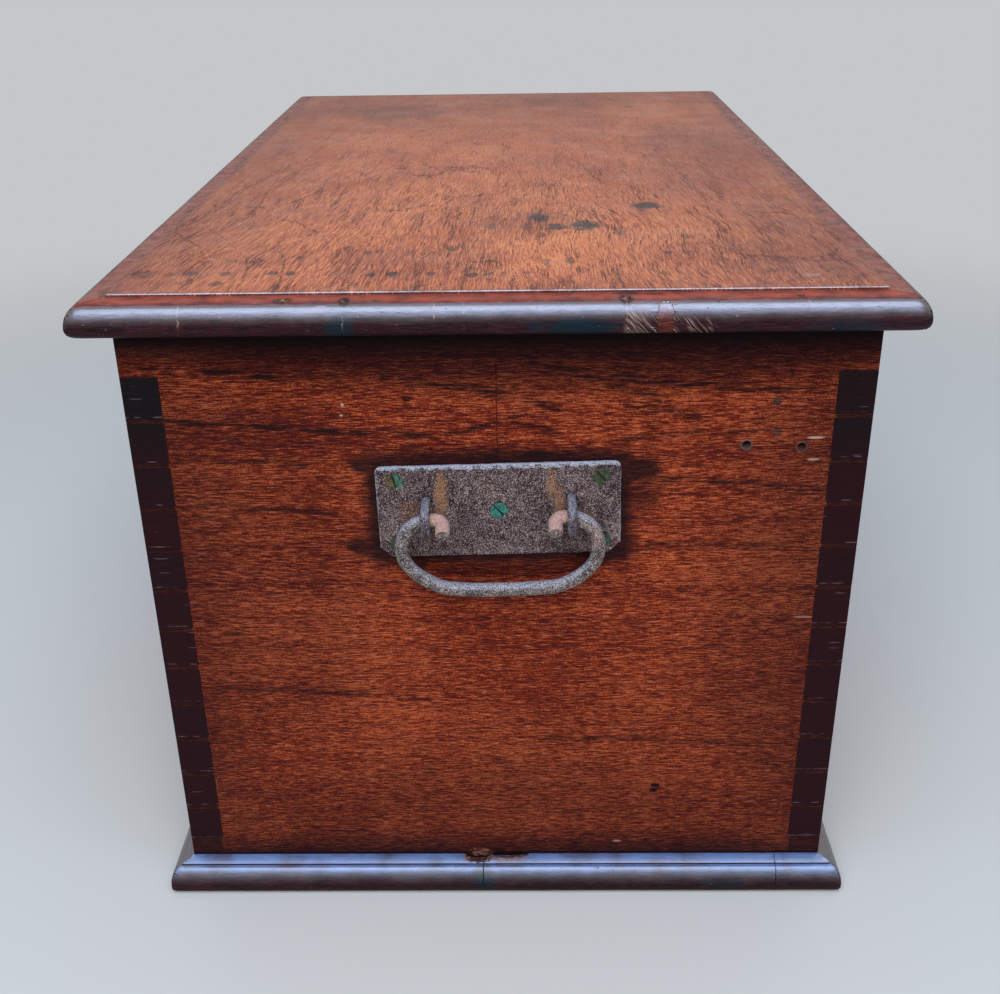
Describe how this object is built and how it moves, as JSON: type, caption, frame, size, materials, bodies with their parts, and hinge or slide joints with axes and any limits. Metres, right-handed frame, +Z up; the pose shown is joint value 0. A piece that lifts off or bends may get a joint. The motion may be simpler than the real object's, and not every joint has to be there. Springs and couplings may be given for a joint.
{
  "type": "storage chest",
  "caption": "Rectangular dovetailed wooden chest with an overhanging moulded lid, a plinth, hooked iron bail handles at the ends, butt hinges at the back and a key lock in the front.",
  "frame": {"origin": "centre of the underside, on the floor", "axes": "+Z up, +Y along the length towards the far end, +X towards the front with the lock; the hinges are at -X"},
  "size_m": [0.472, 0.8096, 0.421],
  "materials": {
    "board_wood": "old waxed hardwood, dark towards the edges",
    "lid_wood": "old waxed hardwood, orange brown",
    "moulding_wood": "dark waxed hardwood",
    "bottom_wood": "bare softwood",
    "plug_wood": "waxed hardwood",
    "wrought_iron": "pitted, brown with rust",
    "nail_iron": "dull",
    "lock_iron": "dull steel",
    "hinge_brass": "aged brass",
    "screw_brass": "aged brass with verdigris"
  },
  "bodies": {
    "carcass": {"end_board_near": "board_wood", "end_board_far": "board_wood", "front_board": "board_wood", "back_board": "board_wood", "bottom_board_1": "bottom_wood", "bottom_board_2": "bottom_wood", "bottom_board_3": "bottom_wood", "plinth_near": "moulding_wood", "plinth_front": "moulding_wood", "plinth_far": "moulding_wood", "plinth_back": "moulding_wood", "old_hole_plugs": "plug_wood", "bottom_nails": "nail_iron", "plinth_sprigs": "nail_iron", "handle_plate_near": "wrought_iron", "staple_eyes_near": "wrought_iron", "handle_screws_near": "screw_brass", "handle_plate_far": "wrought_iron", "staple_eyes_far": "wrought_iron", "handle_screws_far": "screw_brass", "hinge_1_body_leaf": "hinge_brass", "hinge_1_pin": "lock_iron", "hinge_2_body_leaf": "hinge_brass", "hinge_2_pin": "lock_iron", "hinge_body_screws": "screw_brass", "lock_case": "hinge_brass", "lock_cap": "hinge_brass", "lock_spring": "lock_iron", "lock_screws": "screw_brass", "escutcheon": "hinge_brass", "escutcheon_pins": "screw_brass"},
    "lid": {"lid_board": "lid_wood", "lid_repair_plug": "plug_wood", "lid_lip_sprigs": "nail_iron", "hinge_1_lid_leaf": "hinge_brass", "hinge_2_lid_leaf": "hinge_brass", "hinge_lid_screws": "screw_brass", "link_plate": "hinge_brass", "link_screws": "screw_brass", "lid_lip_near": "moulding_wood", "lid_lip_front": "moulding_wood", "lid_lip_far": "moulding_wood", "lid_lip_back": "moulding_wood"},
    "bail_near": {"bail_near": "wrought_iron"},
    "bail_far": {"bail_far": "wrought_iron"},
    "lock_bolt": {"lock_bolt": "lock_iron"},
    "key": {"key": "lock_iron"}
  },
  "joints": [
    {"name": "lid_hinge", "type": "hinge", "parent": "carcass", "child": "lid", "pos_m": [-0.2202, 0, 0.401], "axis": [0, -1, 0], "range_deg": [0, 110]},
    {"name": "bail_near_swing", "type": "hinge", "parent": "carcass", "child": "bail_near", "pos_m": [0, -0.392, 0.286], "axis": [-0.9998, 0, -0.0209], "range_deg": [-4, 125]},
    {"name": "bail_far_swing", "type": "hinge", "parent": "carcass", "child": "bail_far", "pos_m": [0, 0.392, 0.286], "axis": [1, 0, 0], "range_deg": [-4, 125]},
    {"name": "key_turn", "type": "hinge", "parent": "carcass", "child": "key", "pos_m": [0.215, 0, 0.3735], "axis": [-1, 0, 0], "range_deg": [0, 80]},
    {"name": "bolt_slide", "type": "slide", "parent": "carcass", "child": "lock_bolt", "axis": [0, 1, 0], "range_m": [0, 0.008]}
  ],
  "couplings": [
    {"joint": "key_turn", "follows": "bolt_slide", "rad_per_m": 174.53}
  ]
}
